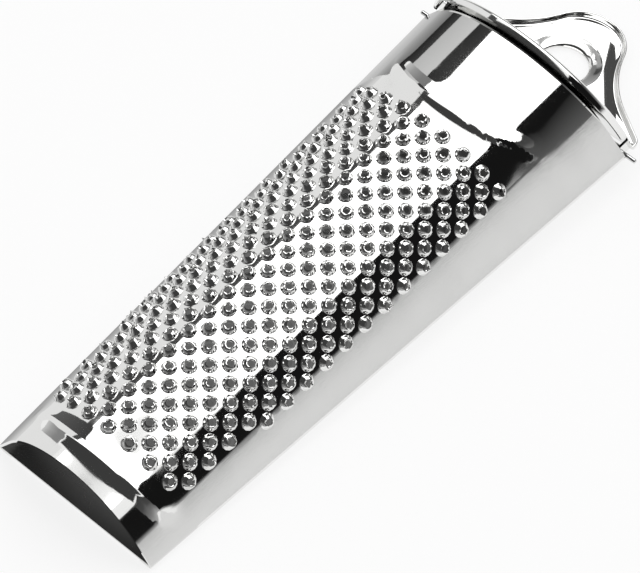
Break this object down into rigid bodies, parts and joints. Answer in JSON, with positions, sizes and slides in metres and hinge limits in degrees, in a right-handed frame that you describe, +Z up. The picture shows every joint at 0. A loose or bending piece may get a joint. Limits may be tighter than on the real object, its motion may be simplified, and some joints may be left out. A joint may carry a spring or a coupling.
{
  "type": "nutmeg grater",
  "caption": "Tapered half-round grater of polished sheet steel, punched face, open lower end, and a hinged lid with hanging tab over a spice compartment.",
  "frame": {"origin": "on the table under the middle of the grater as it lies on its back, touching at the two lower hem ends and the tip of the hanging tab", "axes": "+Y along the body from the open end to the lid and tab, +Z up out of the punched face, +X to the right seen from the open end"},
  "size_m": [0.0526, 0.1446, 0.0272],
  "materials": {
    "shell_steel": "mirror polished stainless sheet, punched from behind",
    "plate_steel": "bright mill finish",
    "lid_steel": "mirror polished stainless sheet",
    "wire_steel": "bright drawn wire"
  },
  "bodies": {
    "body": {"grater_shell": "shell_steel", "back_plate": "plate_steel", "compartment_floor": "plate_steel", "hinge_wire": "wire_steel"},
    "lid": {"lid": "lid_steel"}
  },
  "joints": [
    {"name": "lid_hinge", "type": "hinge", "parent": "body", "child": "lid", "pos_m": [0, 0.04823, 0.00488], "axis": [-1, 0, 0], "range_deg": [0, 130]}
  ]
}
